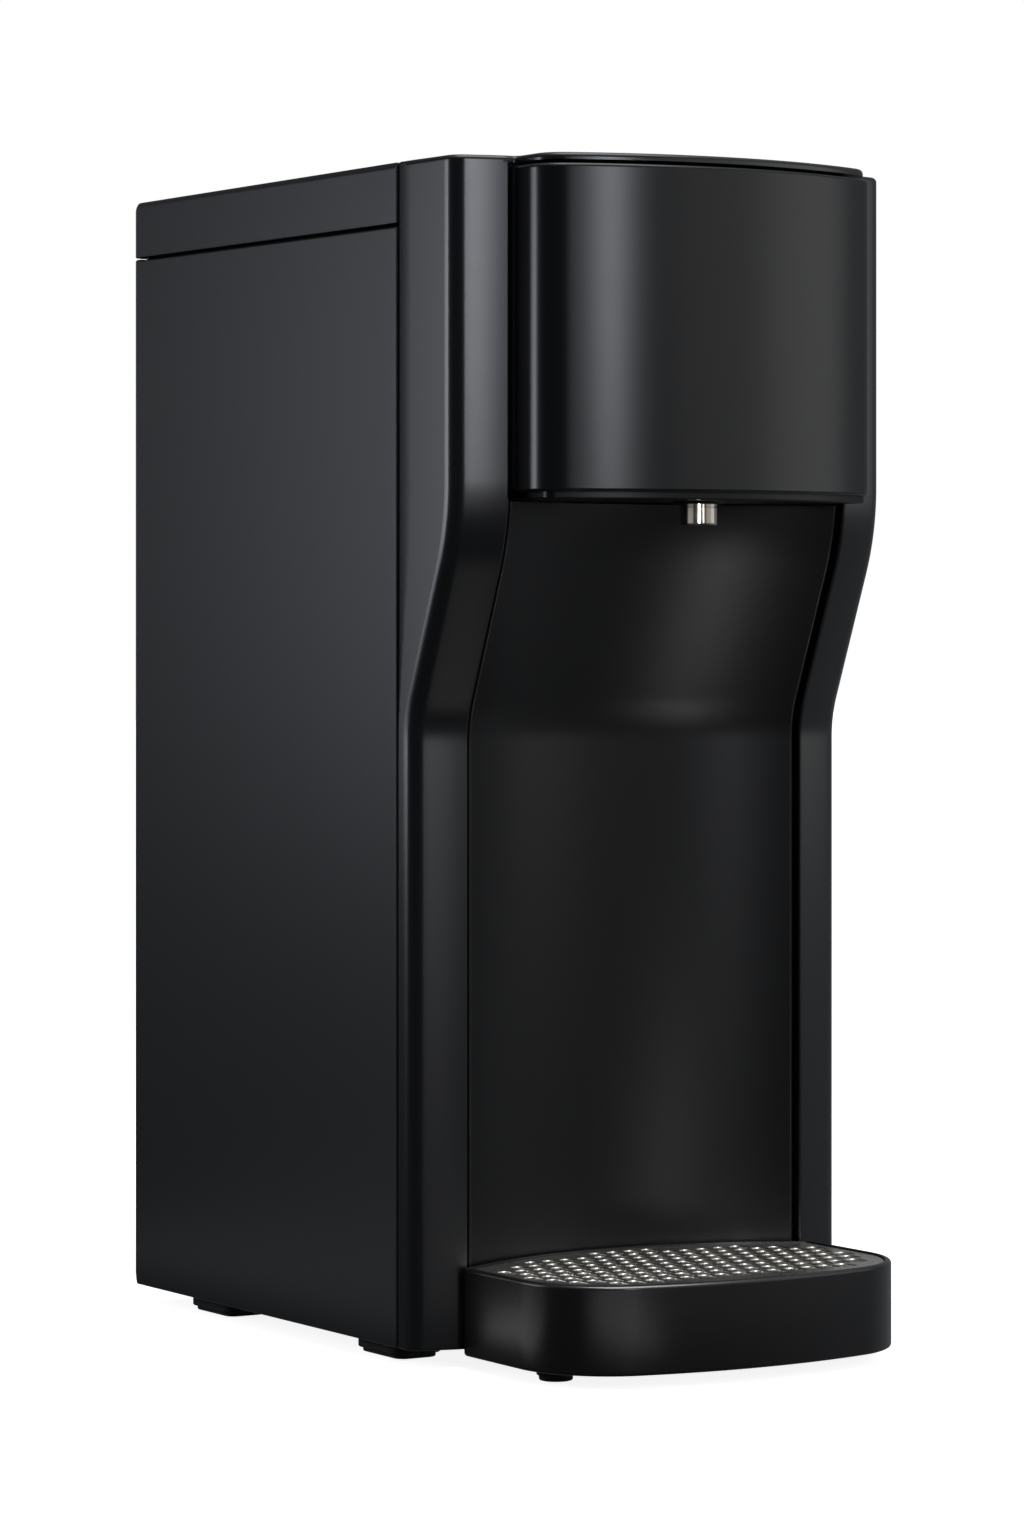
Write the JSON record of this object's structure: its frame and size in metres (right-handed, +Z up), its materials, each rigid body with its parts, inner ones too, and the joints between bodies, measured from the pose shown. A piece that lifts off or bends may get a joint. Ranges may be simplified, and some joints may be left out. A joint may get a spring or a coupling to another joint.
{
  "type": "water cooler",
  "caption": "Countertop water cooler: tall black cabinet with a hinged fill lid, bowed head with a metal nozzle over a hollow bay, and a pull-out drip tray with a steel grille.",
  "frame": {"origin": "centre of the whole cooler's box, on the surface it stands on", "axes": "+Z up, front towards -Y, +X to the right seen from the front"},
  "size_m": [0.215, 0.354, 0.5],
  "materials": {
    "cabinet_plastic": "satin black, fine grain",
    "frame_plastic": "satin black, fine grain",
    "bay_plastic": "satin black",
    "head_plastic": "satin black",
    "tray_plastic": "satin black",
    "rubber": "matte",
    "silicone": "soft, milky",
    "nozzle_metal": "polished nickel",
    "grille_steel": "bright stainless",
    "steel": "zinc plated",
    "stainless": "stainless",
    "tank_plastic": "smoky clear",
    "white_plastic": "satin white",
    "insulation": "foam",
    "aluminium": "milled",
    "dark_plastic": "matte black",
    "board": "green board",
    "contacts": "nickelled brass"
  },
  "bodies": {
    "cabinet": {"base_pan": "frame_plastic", "body_feet": "rubber", "left_side_panel": "cabinet_plastic", "right_side_panel": "cabinet_plastic", "rear_panel": "frame_plastic", "rear_screws": "steel", "front_frame": "frame_plastic", "splash_panel": "bay_plastic", "head_cover": "head_plastic", "nozzle_plate": "bay_plastic", "nozzle_collar": "bay_plastic", "nozzle_sleeve": "nozzle_metal", "flow_insert": "dark_plastic", "nozzle_elbow": "white_plastic", "touch_board": "board", "touch_screws": "steel", "inner_frame": "steel", "frame_screws": "steel", "reservoir": "tank_plastic", "reservoir_seal": "silicone", "outlet_strainer": "stainless", "float_stem": "white_plastic", "cold_tank": "stainless", "tank_lid": "stainless", "feed_grommet": "rubber", "foam_body": "insulation", "foam_cap": "insulation", "cold_block": "aluminium", "cooling_module": "white_plastic", "module_gasket": "silicone", "heat_sink": "aluminium", "clamp_screws": "steel", "fan_frame": "dark_plastic", "fan_screws": "steel", "pump_head": "dark_plastic", "pump_motor": "steel", "pump_bracket": "steel", "tank_hose": "silicone", "delivery_hose": "silicone", "drain_hose": "silicone", "hose_clips": "steel", "main_board": "board", "board_screws": "steel", "mains_inlet": "dark_plastic", "inlet_pins": "contacts", "switch_frame": "dark_plastic", "drain_fitting": "dark_plastic"},
    "lid": {"lid": "cabinet_plastic", "lid_pins": "steel"},
    "tray": {"drip_tray": "tray_plastic", "tray_feet": "rubber"},
    "grille": {"drip_grille": "grille_steel"},
    "fan": {"fan_rotor": "dark_plastic"},
    "pump": {"pump_rotor": "white_plastic"},
    "float": {"level_float": "white_plastic"},
    "rocker": {"switch_rocker": "dark_plastic"},
    "plug": {"drain_plug": "rubber"}
  },
  "joints": [
    {"name": "lid_hinge", "type": "hinge", "parent": "cabinet", "child": "lid", "pos_m": [0, 0.172, 0.4787], "axis": [-1, 0, 0], "range_deg": [0, 75]},
    {"name": "tray_slide", "type": "slide", "parent": "cabinet", "child": "tray", "axis": [0, -1, 0], "range_m": [0, 0.12]},
    {"name": "grille_lift", "type": "slide", "parent": "tray", "child": "grille", "axis": [0, 0, 1], "range_m": [0, 0.05]},
    {"name": "fan_spin", "type": "hinge", "parent": "cabinet", "child": "fan", "pos_m": [0, 0.1363, 0.203], "axis": [0, 1, 0], "continuous": true},
    {"name": "pump_spin", "type": "hinge", "parent": "cabinet", "child": "pump", "pos_m": [0, 0.078, 0.048], "axis": [0, 1, 0], "continuous": true},
    {"name": "float_rise", "type": "slide", "parent": "cabinet", "child": "float", "axis": [0, 0, 1], "range_m": [0, 0.07]},
    {"name": "power_rocker", "type": "hinge", "parent": "cabinet", "child": "rocker", "pos_m": [-0.058, 0.171, 0.084], "axis": [-1, 0, 0], "range_deg": [0, 16]},
    {"name": "drain_pull", "type": "slide", "parent": "cabinet", "child": "plug", "axis": [0, 1, 0], "range_m": [0, 0.03]}
  ]
}
